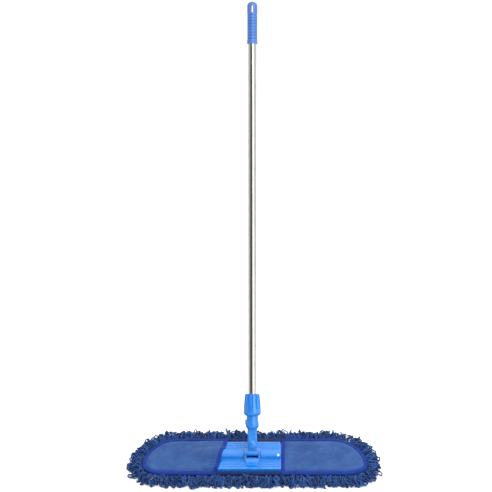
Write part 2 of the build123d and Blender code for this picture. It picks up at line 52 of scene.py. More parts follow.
JOINTS = {j["name"]: j for j in frame["joints"]}
PIVOT = Vector(JOINTS["head_tilt"]["pos_m"])
ALONG = Vector(JOINTS["nut_turn"]["axis"]).normalized()
ACROSS = Vector((1, 0, 0))
VIEW = ALONG.cross(ACROSS)
MM = 0.001

# The pad's outline: straight front and rear edges joined at each end by two quarter ellipses, as in the CAD
EDGE_LOW, EDGE_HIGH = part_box("left_binding")[0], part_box("right_binding")[1]
PAD_X, PAD_HALF = (EDGE_LOW.x + EDGE_HIGH.x) / 2, (EDGE_HIGH.x - EDGE_LOW.x) / 2
PAD_FRONT, PAD_REAR = EDGE_LOW.y, EDGE_HIGH.y
FRONT_RX, FRONT_RY, REAR_RX, REAR_RY = 60 * MM, 38 * MM, 95 * MM, 108 * MM
WIDEST_Y = PAD_FRONT + FRONT_RY
PILE_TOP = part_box("pad_pile")[1].z
BACKING_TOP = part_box("pad_backing")[1].z

# The plate, its ridge and the boards that hold the pocket cloth up
PLATE_LOW, PLATE_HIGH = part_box("centre_plate")
BOARD_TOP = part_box("left_board")[1].z
BOARD_HALF_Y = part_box("left_board")[1].y
PLATE_FLAT = 24 * MM
RIDGE_HALF = 14 * MM
LEFT_MOUTH = ((-87.5 * MM, -56 * MM), (-63 * MM, 58 * MM))
RIGHT_MOUTH = ((73 * MM, -56 * MM), (75.5 * MM, 58 * MM))
RAMP_START, RAMP_END = -104 * MM, -165 * MM


# ---------------------------------------------------------------- stage

def make_camera():
    """Square to the handle and level across the pad, as the photograph was taken."""
    data = bpy.data.cameras.new("camera")
    data.lens, data.sensor_width = 144.0, 36.0
    camera = bpy.data.objects.new("camera", data)
    bpy.context.scene.collection.objects.link(camera)
    aim = PIVOT + ALONG * 0.526 - ACROSS * 0.016
    place = aim - VIEW * 5.0
    axes = Matrix((ACROSS, ALONG, -VIEW)).transposed().to_4x4()
    camera.matrix_world = Matrix.Translation(place) @ axes
    bpy.context.scene.camera = camera


def area_light(name, place, target, size, power):
    data = bpy.data.lights.new(name, "AREA")
    data.shape, data.size, data.size_y = "RECTANGLE", size[0], size[1]
    data.energy = power
    lamp = bpy.data.objects.new(name, data)
    bpy.context.scene.collection.objects.link(lamp)
    lamp.location = place
    lamp.rotation_mode = "QUATERNION"
    lamp.rotation_quaternion = (Vector(target) - Vector(place)).to_track_quat("-Z", "Y")


def sideways(degrees, lift=0.0):
    """The direction that a handle's side turned half that far reflects towards, when seen from the camera."""
    turn = math.radians(degrees)
    level = -VIEW * math.cos(turn) + ACROSS * math.sin(turn)
    return (level * math.cos(math.radians(lift)) + ALONG * math.sin(math.radians(lift))).normalized()


def make_lights():
    middle = PIVOT + ALONG * 0.4
    area_light("key", middle + sideways(33) * 3.2, middle, (1.3, 2.6), 44)
    area_light("top", (0.6, 0.5, 3.2), (0, 0, 0), (2.6, 2.6), 30)
    area_light("spark", PIVOT + sideways(10, 40) * 2.2, PIVOT, (0.36, 0.36), 9)


def make_world():
    world = bpy.data.worlds.new("studio")
    bpy.context.scene.world = world
    world.use_nodes = True
    tree = world.node_tree
    back = tree.nodes["Background"]
    where = tree.nodes.new("ShaderNodeTexCoord").outputs["Generated"]

    def facing(direction, start, end, low, high):
        """low to high as the direction looked in turns from start to end, as cosines."""
        dot = tree.nodes.new("ShaderNodeVectorMath")
        dot.operation = "DOT_PRODUCT"
        tree.links.new(where, dot.inputs[0])
        dot.inputs[1].default_value = direction
        ramp = tree.nodes.new("ShaderNodeMapRange")
        ramp.interpolation_type = "SMOOTHSTEP"
        for socket, value in zip(("From Min", "From Max", "To Min", "To Max"), (start, end, low, high)):
            ramp.inputs[socket].default_value = value
        tree.links.new(dot.outputs["Value"], ramp.inputs["Value"])
        return ramp.outputs["Result"]

    def times(a, b):
        product = tree.nodes.new("ShaderNodeMath")
        product.operation = "MULTIPLY"
        tree.links.new(a, product.inputs[0])
        tree.links.new(b, product.inputs[1])
        return product.outputs[0]

    room = facing((0, 1, 0), -0.6, 0.5, 0.98, 1.55)
    left = facing(tuple(sideways(-70)), math.cos(math.radians(75)), math.cos(math.radians(30)), 1.0, 0.72)
    dark_edge, dark_core = math.cos(math.radians(27)), math.cos(math.radians(16))
    dark_side = facing(tuple(sideways(-31, -6)), dark_edge, dark_core, 1.0, 0.0)
    tree.links.new(times(times(room, left), dark_side), back.inputs["Strength"])
    back.inputs["Color"].default_value = (1.0, 1.0, 1.0, 1)


# ---------------------------------------------------------------- materials

def srgb(red, green, blue):
    """A colour given as 0 to 255 in sRGB, as linear RGBA."""
    def linear(value):
        share = value / 255
        return share / 12.92 if share <= 0.04045 else ((share + 0.055) / 1.055) ** 2.4
    return (linear(red), linear(green), linear(blue), 1.0)


class Finish:
    """A material whose node tree is built up step by step."""

    def __init__(self, name, **sockets):
        self.material = bpy.data.materials.new(name)
        self.material.use_nodes = True
        self.tree = self.material.node_tree
        self.shader = self.tree.nodes["Principled BSDF"]
        for socket, value in sockets.items():
            self.shader.inputs[socket.replace("_", " ")].default_value = value
        self.object_place = self.add("ShaderNodeTexCoord").outputs["Object"]

    def add(self, kind, **settings):
        made = self.tree.nodes.new(kind)
        for name, value in settings.items():
            setattr(made, name, value)
        return made

    def join(self, source, target):
        self.tree.links.new(source, target)

    def place(self, scale, turn=(0, 0, 0)):
        """Object coordinates, turned and then stretched."""
        mapping = self.add("ShaderNodeMapping")
        mapping.inputs["Scale"].default_value = scale
        mapping.inputs["Rotation"].default_value = turn
        self.join(self.object_place, mapping.inputs["Vector"])
        return mapping.outputs["Vector"]

    def noise(self, scale, detail=2.0, roughness=0.5, at=None):
        made = self.add("ShaderNodeTexNoise")
        made.inputs["Scale"].default_value = scale
        made.inputs["Detail"].default_value = detail
        made.inputs["Roughness"].default_value = roughness
        self.join(at or self.object_place, made.inputs["Vector"])
        return made.outputs["Fac"]

    def bands(self, period, at, direction, distortion):
        """A wave that repeats at that length along one axis of the coordinates."""
        made = self.add("ShaderNodeTexWave", wave_type="BANDS", bands_direction=direction, wave_profile="SIN")
        made.inputs["Scale"].default_value = 2 * math.pi / (20 * period)
        made.inputs["Distortion"].default_value = distortion
        made.inputs["Detail Scale"].default_value = 1.0
        self.join(at, made.inputs["Vector"])
        return made.outputs["Fac"]

    def math(self, operation, a, b):
        made = self.add("ShaderNodeMath", operation=operation)
        for socket, value in zip(made.inputs, (a, b)):
            if isinstance(value, (int, float)):
                socket.default_value = value
            else:
                self.join(value, socket)
        return made.outputs[0]

    def ramp(self, value, low, high, start=0.0, end=1.0):
        made = self.add("ShaderNodeMapRange")
        for socket, number in zip(("From Min", "From Max", "To Min", "To Max"), (start, end, low, high)):
            made.inputs[socket].default_value = number
        self.join(value, made.inputs["Value"])
        return made.outputs["Result"]

    def blend(self, share, first, second):
        made = self.add("ShaderNodeMix", data_type="RGBA", blend_type="MIX")
        if isinstance(share, float):
            made.inputs[0].default_value = share
        else:
            self.join(share, made.inputs[0])
        for socket, value in ((made.inputs[6], first), (made.inputs[7], second)):
            if isinstance(value, tuple):
                socket.default_value = value
            else:
                self.join(value, socket)
        return made.outputs[2]

    def bump(self, height, depth, strength=1.0, under=None):
        made = self.add("ShaderNodeBump")
        made.inputs["Strength"].default_value = strength
        made.inputs["Distance"].default_value = depth
        self.join(height, made.inputs["Height"])
        if under is not None:
            self.join(under, made.inputs["Normal"])
        return made.outputs["Normal"]

    def finish(self, colour=None, roughness=None, normal=None):
        for value, socket in ((colour, "Base Color"), (roughness, "Roughness"), (normal, "Normal")):
            if value is not None:
                self.join(value, self.shader.inputs[socket])
        return self.material


def moulded_plastic(name, colour, worn, gloss, grain, ribs=None):
    """Injection-moulded plastic: faint flow mottling, scuffs drawn along X, and a fine moulded grain.
    ribs is (a groove's middle, their pitch) along the handle from its pivot, where painted shade darkens the
    grooves."""
    f = Finish(name, IOR=1.55, Specular_IOR_Level=0.5)
    flow = f.ramp(f.noise(38, 3.0), 0.0, 1.0, 0.36, 0.66)
    scuffs = f.ramp(f.noise(420, 2.0, 0.6, f.place((0.12, 1, 1))), 0.0, 1.0, 0.58, 0.74)
    base = f.blend(flow, colour, tuple(c * 0.88 for c in colour[:3]) + (1.0,))
    tint = f.blend(f.math("MULTIPLY", scuffs, 0.22), base, worn)
    if ribs:
        dot = f.add("ShaderNodeVectorMath", operation="DOT_PRODUCT")
        f.join(f.object_place, dot.inputs[0])
        dot.inputs[1].default_value = ALONG
        past = f.math("SUBTRACT", dot.outputs["Value"], PIVOT.dot(ALONG) + ribs[0])
        turns = f.math("DIVIDE", past, ribs[1])
        wave = f.math("COSINE", f.math("MULTIPLY", turns, 2 * math.pi), 0.0)
        # Painted shade: darker bands in the ring grooves, mottled by the flow noise
        groove_shade = f.math("MULTIPLY", f.ramp(wave, 0.0, 1.0, 0.35, 0.9), f.ramp(flow, 0.35, 0.75))
        tint = f.blend(groove_shade, tint, tuple(c * 0.45 for c in colour[:3]) + (1.0,))
    rough = f.math("ADD", f.ramp(flow, gloss, gloss + 0.07), f.math("MULTIPLY", scuffs, 0.12))
    dimples = f.bump(f.noise(1500, 1.0), grain * MM, 0.6)
    waves = f.bump(f.noise(70, 1.0), 0.25 * MM, 0.35, dimples)
    return f.finish(tint, rough, waves)


def steel(name, colour, gloss, drawn):
    """Bright metal with fine lines drawn along the handle and a few faint rub marks."""
    f = Finish(name, Metallic=1.0)
    lean = math.atan2(ALONG.y, ALONG.z)
    lines = f.noise(1300, 2.0, 0.6, f.place((1, 1, drawn), (lean, 0, 0)))
    rubs = f.ramp(f.noise(90, 3.0, 0.6, f.place((1, 1, 0.2), (lean, 0, 0))), 0.0, 1.0, 0.45, 0.7)
    tint = f.blend(rubs, colour, tuple(c * 0.86 for c in colour[:3]) + (1.0,))
    rough = f.math("ADD", f.ramp(lines, gloss - 0.03, gloss + 0.05), f.math("MULTIPLY", rubs, 0.06))
    return f.finish(tint, rough, f.bump(lines, 0.02 * MM, 0.35))


def woven(name, dark, light, period, relief, fuzz):
    """Cloth of crossing threads, with a heathered mix of two dyes and short fibres."""
    f = Finish(name, Sheen_Weight=fuzz, Sheen_Roughness=0.55, Specular_IOR_Level=0.2)
    f.shader.inputs["Sheen Tint"].default_value = tuple(0.5 + 0.5 * c for c in light[:3]) + (1.0,)
    warp = f.bands(period, f.object_place, "X", 0.6)
    weft = f.bands(period, f.object_place, "Y", 0.6)
    threads = f.math("MAXIMUM", warp, weft)
    heather = f.ramp(f.noise(230, 4.0, 0.7), 0.0, 1.0, 0.34, 0.66)
    patches = f.ramp(f.noise(34, 3.0, 0.6), 0.0, 1.0, 0.35, 0.7)
    mixed = f.math("ADD", f.math("MULTIPLY", heather, 0.4), f.math("MULTIPLY", patches, 0.45))
    share = f.math("ADD", mixed, f.math("MULTIPLY", threads, 0.15))
    colour = f.blend(share, dark, light)
    rough = f.ramp(heather, 0.78, 0.95)
    lint = f.bump(f.noise(1600, 2.0), 0.15 * MM, 0.5)
    return f.finish(colour, rough, f.bump(threads, relief * MM, 0.9, lint))


def twisted_yarn(name, dark, light):
    """Cotton and microfibre yarn: each loop has its own depth of dye, and fibres wind round the strand."""
    f = Finish(name, Sheen_Weight=0.18, Sheen_Roughness=0.5, Specular_IOR_Level=0.2)
    f.shader.inputs["Sheen Tint"].default_value = tuple(0.4 + 0.6 * c for c in light[:3]) + (1.0,)
    shade = f.add("ShaderNodeAttribute", attribute_name="shade").outputs["Fac"]
    around = f.add("ShaderNodeUVMap", uv_map="strand").outputs["UV"]
    wound = f.add("ShaderNodeMapping")
    wound.inputs["Rotation"].default_value = (0, 0, 0.72)
    f.join(around, wound.inputs["Vector"])
    fibres = f.bands(0.55, wound.outputs["Vector"], "X", 1.5)
    flecks = f.ramp(f.noise(700, 3.0, 0.7), 0.0, 1.0, 0.3, 0.7)
    share = f.math("ADD", f.math("MULTIPLY", shade, 0.6), f.math("MULTIPLY", flecks, 0.25))
    share = f.math("ADD", share, f.math("MULTIPLY", fibres, 0.15))
    colour = f.blend(share, dark, light)
    lint = f.bump(f.noise(2400, 2.0), 0.2 * MM, 0.5)
    return f.finish(colour, f.ramp(flecks, 0.75, 0.95), f.bump(fibres, 0.3 * MM, 0.8, lint))


def floor_finish():
    f = Finish("pale_floor", Specular_IOR_Level=0.1)
    tone = f.blend(f.noise(6, 3.0), (0.93, 0.93, 0.935, 1), (0.955, 0.955, 0.96, 1))
    return f.finish(tone, f.ramp(f.noise(20, 2.0), 0.85, 0.95))


def set_finish(node, material):
    piece = frame["nodes"][node]
    if not piece.material_slots:
        piece.data.materials.append(material)
    for holder in piece.material_slots:
        holder.material = material


# ---------------------------------------------------------------- pad shapes

def dense_edge():
    """The pad's edge as closely spaced points, anticlockwise from the front left corner's start."""
    reach_front, reach_rear = PAD_HALF - FRONT_RX, PAD_HALF - REAR_RX
    turn = np.linspace(0, math.pi / 2, 200)
    runs = [
        (PAD_X + np.linspace(-reach_front, reach_front, 400), np.full(400, PAD_FRONT)),
        (PAD_X + reach_front + FRONT_RX * np.sin(turn), WIDEST_Y - FRONT_RY * np.cos(turn)),
        (PAD_X + reach_rear + REAR_RX * np.cos(turn), WIDEST_Y + REAR_RY * np.sin(turn)),
        (PAD_X + np.linspace(reach_rear, -reach_rear, 400), np.full(400, PAD_REAR)),
        (PAD_X - reach_rear - REAR_RX * np.sin(turn), WIDEST_Y + REAR_RY * np.cos(turn)),
        (PAD_X - reach_front - FRONT_RX * np.cos(turn), WIDEST_Y - FRONT_RY * np.sin(turn)),
    ]
    return np.concatenate([np.stack(run, 1)[:-1] for run in runs])


def pad_edge(count):
    """That many even points round the pad's edge, the outward direction at each, and the edge's length."""
    points = dense_edge()
    closed = np.vstack([points, points[:1]])
    walked = np.concatenate([[0], np.cumsum(np.linalg.norm(np.diff(closed, axis=0), axis=1))])
    stops = np.linspace(0, walked[-1], count, endpoint=False)
    even = np.stack([np.interp(stops, walked, closed[:, i]) for i in (0, 1)], 1)
    ahead = np.roll(even, -1, 0) - np.roll(even, 1, 0)
    ahead /= np.linalg.norm(ahead, axis=1)[:, None]
    return even, np.stack([ahead[:, 1], -ahead[:, 0]], 1), walked[-1]


EDGE_POINTS = dense_edge()


def inside_edge(x, y):
    """How far each point is inside the pad's edge."""
    flat = np.stack([np.ravel(x), np.ravel(y)], 1)
    gaps = []
    for block in np.array_split(flat, max(1, len(flat) // 2000)):
        gaps.append(np.sqrt(((block[:, None] - EDGE_POINTS[None]) ** 2).sum(2)).min(1))
    return np.concatenate(gaps).reshape(np.shape(x))


def edge_ys(x, inset):
    """The front and rear edges at each x, that far inside the pad's edge."""
    out = np.abs(x - PAD_X)

    def drop(rx, ry):
        past = np.clip((out - (PAD_HALF - rx)) / (rx - inset), 0, 1)
        return (ry - inset) * np.sqrt(1 - past ** 2)
    return WIDEST_Y - drop(FRONT_RX, FRONT_RY), WIDEST_Y + drop(REAR_RX, REAR_RY)


def soft_min(a, b, k):
    h = np.clip(0.5 + 0.5 * (b - a) / k, 0, 1)
    return b + (a - b) * h - k * h * (1 - h)


def soft_max(a, b, k):
    return -soft_min(-a, -b, k)


def ease(t):
    t = np.clip(t, 0, 1)
    return t * t * (3 - 2 * t)


def ripples(x, y, seed, longest, shortest, size, count=22):
    """A smooth uneven surface made of many low waves in mixed directions."""
    rng = np.random.default_rng(seed)
    total = np.zeros(np.shape(x))
    for _ in range(count):
        length = math.exp(rng.uniform(math.log(shortest), math.log(longest)))
        angle, phase = rng.uniform(0, math.pi), rng.uniform(0, 2 * math.pi)
        total += np.sin((x * math.cos(angle) + y * math.sin(angle)) * 2 * math.pi / length + phase) * length
    return total * size / (count ** 0.5 * (longest * shortest) ** 0.5)


# Flat patterns: a pocket's seam allowances across and along
SEAM_WIDE, SEAM_LONG = 8 * MM, 10 * MM

SEAM_IN = 8.8 * MM
SEAM_Z = BACKING_TOP + 1.3 * MM
CLOTH = 0.9 * MM
HEM_WIDTH, HEM_FOLD = 9.0 * MM, 0.65 * MM
EDGE_WIDEN, WIDEN_RUN = 0.4, 26 * MM
# Where the grip material paints shade into its ring grooves: a groove's middle and their pitch, in metres
GRIP_RIBS = (1.053, 0.0074)
STRAND_R, STRAND_TURN = 1.45 * MM, 13 * MM
PILE_R, PILE_TURN = 2.0 * MM, 12 * MM
FLOOR_HALF = 30.0


def mouth_x(mouth, y):
    (x0, y0), (x1, y1) = mouth
    return x0 + (x1 - x0) * (y - y0) / (y1 - y0)


def pocket_height(side, x, y):
    """The middle of the pocket cloth: flat on the board, down to the pad's seam, and over the plate's end."""
    x, y = np.asarray(x, float), np.asarray(y, float)
    flat = BOARD_TOP + 1.1 * MM
    level, half = np.full(np.shape(x), flat), np.full(np.shape(x), BOARD_HALF_Y)
    if side < 0:
        climb = ease((x - RAMP_END) / (RAMP_START - RAMP_END))
        level = flat + (PLATE_FLAT + 1.15 * MM - flat) * climb
        half = BOARD_HALF_Y + (PLATE_HIGH.y + 0.6 * MM - BOARD_HALF_Y) * ease((x + 130 * MM) / (26 * MM))
    front, rear = PAD_FRONT + SEAM_IN, PAD_REAR - SEAM_IN
    rise = soft_min((y - front) / (-half - front), (rear - y) / (rear - half), 0.2)
    rise = soft_min(rise, (inside_edge(x, y) - SEAM_IN) / (5.6 * MM), 0.25)
    rise = np.clip(soft_min(rise, np.ones_like(rise), 0.3), 0, 1)
    if side < 0:
        beyond = np.maximum(PLATE_LOW.x + 2 * MM - x, 0) / 2.1
        beside = np.maximum(np.abs(y) - (RIDGE_HALF - 1.5 * MM), 0)
        tent = PLATE_HIGH.z + 1.5 * MM - 0.62 * np.hypot(beyond, beside)
        level = soft_max(level, tent, 4.5 * MM)
    slack = ripples(x, y, 11 + side, 80 * MM, 24 * MM, 0.22 * MM)
    return SEAM_Z + (level - SEAM_Z) * rise + slack * rise


def surface_point(side, x, y, above):
    """A point that far above the pocket cloth's middle, square to it."""
    step = 0.4 * MM
    z = pocket_height(side, x, y)
    slope_x = (pocket_height(side, x + step, y) - pocket_height(side, x - step, y)) / (2 * step)
    slope_y = (pocket_height(side, x, y + step) - pocket_height(side, x, y - step)) / (2 * step)
    normal = np.stack([-slope_x, -slope_y, np.ones_like(z)], -1)
    normal /= np.linalg.norm(normal, axis=-1)[..., None]
    return np.stack([x, y, z], -1) + normal * np.asarray(above)[..., None]


# ---------------------------------------------------------------- mesh helpers

def make_piece(name, points, faces, material):
    """faces is an array of quads or a list of arrays of faces of one size each."""
    mesh = bpy.data.meshes.new(name)
    groups = faces if isinstance(faces, list) else [faces]
    sizes = np.concatenate([np.full(len(g), g.shape[1]) for g in groups])
    corners = np.concatenate([g.ravel() for g in groups])
    mesh.vertices.add(len(points))
    mesh.vertices.foreach_set("co", np.asarray(points, np.float32).ravel())
    mesh.loops.add(len(corners))
    mesh.loops.foreach_set("vertex_index", corners.astype(np.int32))
    mesh.polygons.add(len(sizes))
    starts = np.concatenate([[0], np.cumsum(sizes)[:-1]])
    mesh.polygons.foreach_set("loop_start", starts.astype(np.int32))
    mesh.polygons.foreach_set("use_smooth", np.full(len(sizes), True))
    mesh.update(calc_edges=True)
    mesh.validate()
    mesh.materials.append(material)
    piece = bpy.data.objects.new(name, mesh)
    bpy.context.scene.collection.objects.link(piece)
    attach(piece, "frame")
    return piece


def grid_faces(rows, columns, closed_columns=False, start=0):
    """Quads over a grid of points numbered row by row."""
    i = np.arange(rows - 1)
    j = np.arange(columns if closed_columns else columns - 1)
    i, j = np.meshgrid(i, j, indexing="ij")
    near, far = j, (j + 1) % columns
    here, there = i * columns, (i + 1) * columns
    quads = np.stack([here + near, here + far, there + far, there + near], -1).reshape(-1, 4)
    return quads + start


def grid_normals(grid):
    along, over = np.gradient(grid, axis=0), np.gradient(grid, axis=1)
    normal = np.cross(over, along)
    return normal / np.maximum(np.linalg.norm(normal, axis=-1), 1e-12)[..., None]


def sheet_mesh(grid, thickness):
    """A closed sheet of that thickness about a grid of points, each of its four edges closed by a strip."""
    rows, columns = grid.shape[:2]
    normal = grid_normals(grid)
    if normal[..., 2].mean() < 0:
        normal = -normal
    count = rows * columns
    top, bottom = grid + normal * thickness / 2, grid - normal * thickness / 2
    upper = grid_faces(rows, columns)
    lower = upper[:, ::-1] + count
    number = np.arange(count).reshape(rows, columns)
    rim = np.concatenate([number[0, :-1], number[:-1, -1], number[-1, :0:-1], number[:0:-1, 0]])
    ahead = np.roll(rim, -1)
    walls = np.stack([ahead, rim, rim + count, ahead + count], 1)
    faces = np.concatenate([upper, lower, walls])
    points = np.concatenate([top.reshape(-1, 3), bottom.reshape(-1, 3)])
    a, b, c = points[upper[len(upper) // 2][:3]]
    if np.cross(b - a, c - a)[2] < 0:
        faces = faces[:, ::-1]
    return points, faces


def plan_area(grid):
    """A grid's own area, as one layer. The flat areas come from it, so they follow the modelled cloth."""
    a, b = grid[1:, 1:] - grid[:-1, :-1], grid[1:, :-1] - grid[:-1, 1:]
    return float(np.linalg.norm(np.cross(a, b), axis=-1).sum() / 2)


def uneven(count, pull):
    """Numbers from 0 to 1 that lie closer together near both ends."""
    t = np.linspace(0, 1, count)
    return (1 - pull) * t + pull * (1 - np.cos(math.pi * t)) / 2


def pocket_grid(side, mouth, columns=112, rows=64):
    inset = 4.0 * MM
    tip = PAD_X + side * (PAD_HALF - inset - 0.4 * MM)
    start = (mouth[0][0] + mouth[1][0]) / 2
    along = np.sin(np.linspace(0, 1, columns) * math.pi / 2)
    x = start + (tip - start) * along
    front, rear = edge_ys(x, inset)
    v = uneven(rows, 0.55)[None, :]
    y = front[:, None] * (1 - v) + rear[:, None] * v
    fade = (1 - np.linspace(0, 1, columns))[:, None] ** 1.5
    x = x[:, None] + (mouth_x(mouth, y) - start) * fade
    return np.stack([x, y, pocket_height(side, x, y)], -1)


def make_pocket(side, mouth, name, node, material):
    grid = pocket_grid(side, mouth)
    points, faces = sheet_mesh(grid, CLOTH)
    piece = make_piece(name, points, faces, material)
    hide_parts(node)
    wide = float(grid[..., 1].max() - grid[..., 1].min()) + SEAM_WIDE
    long = float(abs(grid[..., 0].max() - grid[..., 0].min())) + SEAM_LONG
    return piece, (wide, long), plan_area(grid)


def make_hem(side, mouth, name, node, material):
    """Tape folded over the pocket's mouth."""
    width, fold = HEM_WIDTH, HEM_FOLD
    y = PAD_FRONT + 5.5 * MM + (PAD_REAR - PAD_FRONT - 11 * MM) * uneven(150, 0.5)
    waver = ripples(y, y * 0, 5 + side, 60 * MM, 25 * MM, 0.35 * MM)
    lip = CLOTH / 2 + fold
    profile = [
        (width, CLOTH / 2 - 0.1 * MM), (width, lip), (width * 0.75, lip + 0.12 * MM),
        (width * 0.5, lip + 0.06 * MM), (width * 0.25, lip + 0.1 * MM), (0.2 * MM, lip),
        (-0.5 * MM, lip * 0.6), (-0.75 * MM, 0.0), (-0.5 * MM, -lip * 0.6),
        (0.2 * MM, -lip * 0.85), (width * 0.4, -lip * 0.8), (width * 0.8, -lip * 0.8),
        (width * 0.8, -CLOTH / 2 + 0.15 * MM), (width * 0.3, -CLOTH / 2 + 0.15 * MM), (0.5 * MM, 0.0),
        (width * 0.3, CLOTH / 2 - 0.15 * MM), (width * 0.7, CLOTH / 2 - 0.15 * MM),
    ]
    (x0, y0), (x1, y1) = mouth
    lean = (x1 - x0) / (y1 - y0)
    across = np.array([side, -side * lean]) / math.hypot(1, lean)
    rings = []
    for w, h in profile:
        x = mouth_x(mouth, y) + across[0] * w + waver * (0.4 + 0.6 * w / width)
        rings.append(surface_point(side, x, y + across[1] * w, np.full(len(y), h)))
    grid = np.stack(rings, 1)
    faces = grid_faces(len(y), len(profile), closed_columns=True)
    count = len(profile)
    caps = [np.arange(count)[None, :], (np.arange(count) + (len(y) - 1) * count)[None, ::-1]]
    if side > 0:
        faces, caps = faces[:, ::-1], [c[:, ::-1] for c in caps]
    piece = make_piece(name, grid.reshape(-1, 3), [faces] + caps, material)
    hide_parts(node)
    seam_x = mouth_x(mouth, y) + across[0] * (width - 1.3 * MM) + waver
    seam = surface_point(side, seam_x, y + across[1] * (width - 1.3 * MM), np.full(len(y), lip + 0.05 * MM))
    return piece, seam


def edge_runs(count):
    """The pad's edge as four runs, each of points and outward directions: round each pocket, and the
    front and rear between them."""
    edge, out, _ = pad_edge(count)
    front = edge[:, 1] < WIDEST_Y
    left = edge[:, 0] < mouth_x(LEFT_MOUTH, edge[:, 1])
    right = edge[:, 0] > mouth_x(RIGHT_MOUTH, edge[:, 1])
    between = ~left & ~right
    parts = {"left": left, "right": right, "front": front & between, "rear": ~front & between}
    runs = {}
    for name, chosen in parts.items():
        first = np.flatnonzero(chosen & ~np.roll(chosen, 1))[0]
        order = (first + np.arange(chosen.sum())) % count
        runs[name] = (edge[order], out[order])
    return runs


TAPE_WIDTH = 9.3
TAPE_PROFILE = (
    (9.3, -0.2), (9.0, 0.55), (7.6, 0.35), (5.5, 0.75), (3.2, 0.5), (1.4, -0.5), (0.3, -2.0), (0.0, -3.3),
    (0.4, -4.8), (1.6, -5.5), (4.0, -5.7), (7.2, -5.7),
    (7.2, -5.1), (3.0, -4.9), (1.3, -3.3), (2.6, -0.9), (5.5, -0.2), (8.0, -0.5),
)


def make_edging(run, widen, material, name, node):
    """Tape folded round part of the pad's edge and sewn through, so it pulls in a little between stitches.
    widen is the share by which the front edge's tape is broader and laid up on the board."""
    edge, out = run
    count = len(edge)
    front, rear = np.maximum(-out[:, 1], 0) * widen, np.maximum(out[:, 1], 0)
    waver = ripples(edge[:, 0], edge[:, 1], 3, 70 * MM, 22 * MM, 0.4 * MM)
    walked = np.arange(count) * np.linalg.norm(edge[1] - edge[0])
    pucker = 0.16 * MM * np.sin(walked * 2 * math.pi / (11 * MM))

    def place(inset, height):
        share = inset / TAPE_WIDTH
        shift = inset * MM * (1 + 0.5 * front) + waver * share
        lift = np.where(height > -2.5, 2.3 * front * share + 1.6 * rear * (1 - share), 0.0) * MM
        z = EDGE_HIGH.z + height * MM + lift + (pucker if height > 0 else 0)
        return np.column_stack([edge - out * shift[:, None], z])
    grid = np.stack([place(inset, height) for inset, height in TAPE_PROFILE], 1)
    size = len(TAPE_PROFILE)
    faces = grid_faces(count, size, closed_columns=True)
    caps = [np.arange(size)[None, ::-1], (np.arange(size) + (count - 1) * size)[None, :]]
    piece = make_piece(name, grid.reshape(-1, 3), [faces] + caps, material)
    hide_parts(node)
    return piece, place(7.7, 0.42)


def make_stitches(name, lines, material, radius=0.30 * MM):
    """Short raised stitches along each line of points."""
    length, gap = 2.5 * MM, 1.1 * MM
    sections = [(-0.5, 0.25), (-0.3, 0.9), (0.0, 1.0), (0.3, 0.9), (0.5, 0.25)]
    sides = 6
    points, faces = [], []
    for track in lines:
        walked = np.concatenate([[0], np.cumsum(np.linalg.norm(np.diff(track, axis=0), axis=1))])
        for middle in np.arange(length, walked[-1] - length / 2, length + gap):
            ends = [
                np.array([np.interp(middle + s * length, walked, track[:, i]) for i in range(3)])
                for s in (-0.5, 0.5)
            ]
            ahead = (ends[1] - ends[0]) / np.linalg.norm(ends[1] - ends[0])
            side = np.cross(ahead, (0, 0, 1))
            side /= np.linalg.norm(side)
            up = np.cross(side, ahead)
            start = len(points)
            for s, r in sections:
                centre = (ends[0] + ends[1]) / 2 + ahead * s * length - up * radius * 0.9 * (1 - r)
                for i in range(sides):
                    a = 2 * math.pi * i / sides
                    points.append(centre + (side * math.cos(a) + up * math.sin(a)) * radius * r)
            faces.append(grid_faces(len(sections), sides, closed_columns=True, start=start))
            cap = np.arange(sides)
            faces.append(np.array([[start + cap[3], start + cap[2], start + cap[1], start + cap[0]],
                                   [start + cap[0], start + cap[5], start + cap[4], start + cap[3]]]))
            last = start + (len(sections) - 1) * sides
            faces.append(np.array([[last + cap[0], last + cap[1], last + cap[2], last + cap[3]],
                                   [last + cap[3], last + cap[4], last + cap[5], last + cap[0]]]))
    return make_piece(name, np.array(points), np.concatenate(faces), material)


def make_backing(material):
    inset = 2.0 * MM
    columns, rows = 180, 40
    x = PAD_X - (PAD_HALF - inset - 0.3 * MM) * np.cos(np.linspace(0, math.pi, columns))
    front, rear = edge_ys(x, inset)
    v = uneven(rows, 0.4)[None, :]
    y = front[:, None] * (1 - v) + rear[:, None] * v
    x = np.repeat(x[:, None], rows, 1)
    z = (PILE_TOP + BACKING_TOP) / 2 + ripples(x, y, 21, 90 * MM, 25 * MM, 0.1 * MM)
    grid = np.stack([x, y, z], -1)
    points, faces = sheet_mesh(grid, 2.0 * MM)
    piece = make_piece("pad_backing_cloth", points, faces, material)
    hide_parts("pad_backing")
    return piece, plan_area(grid)


# ---------------------------------------------------------------- yarn

STRAND_SIDES = 8


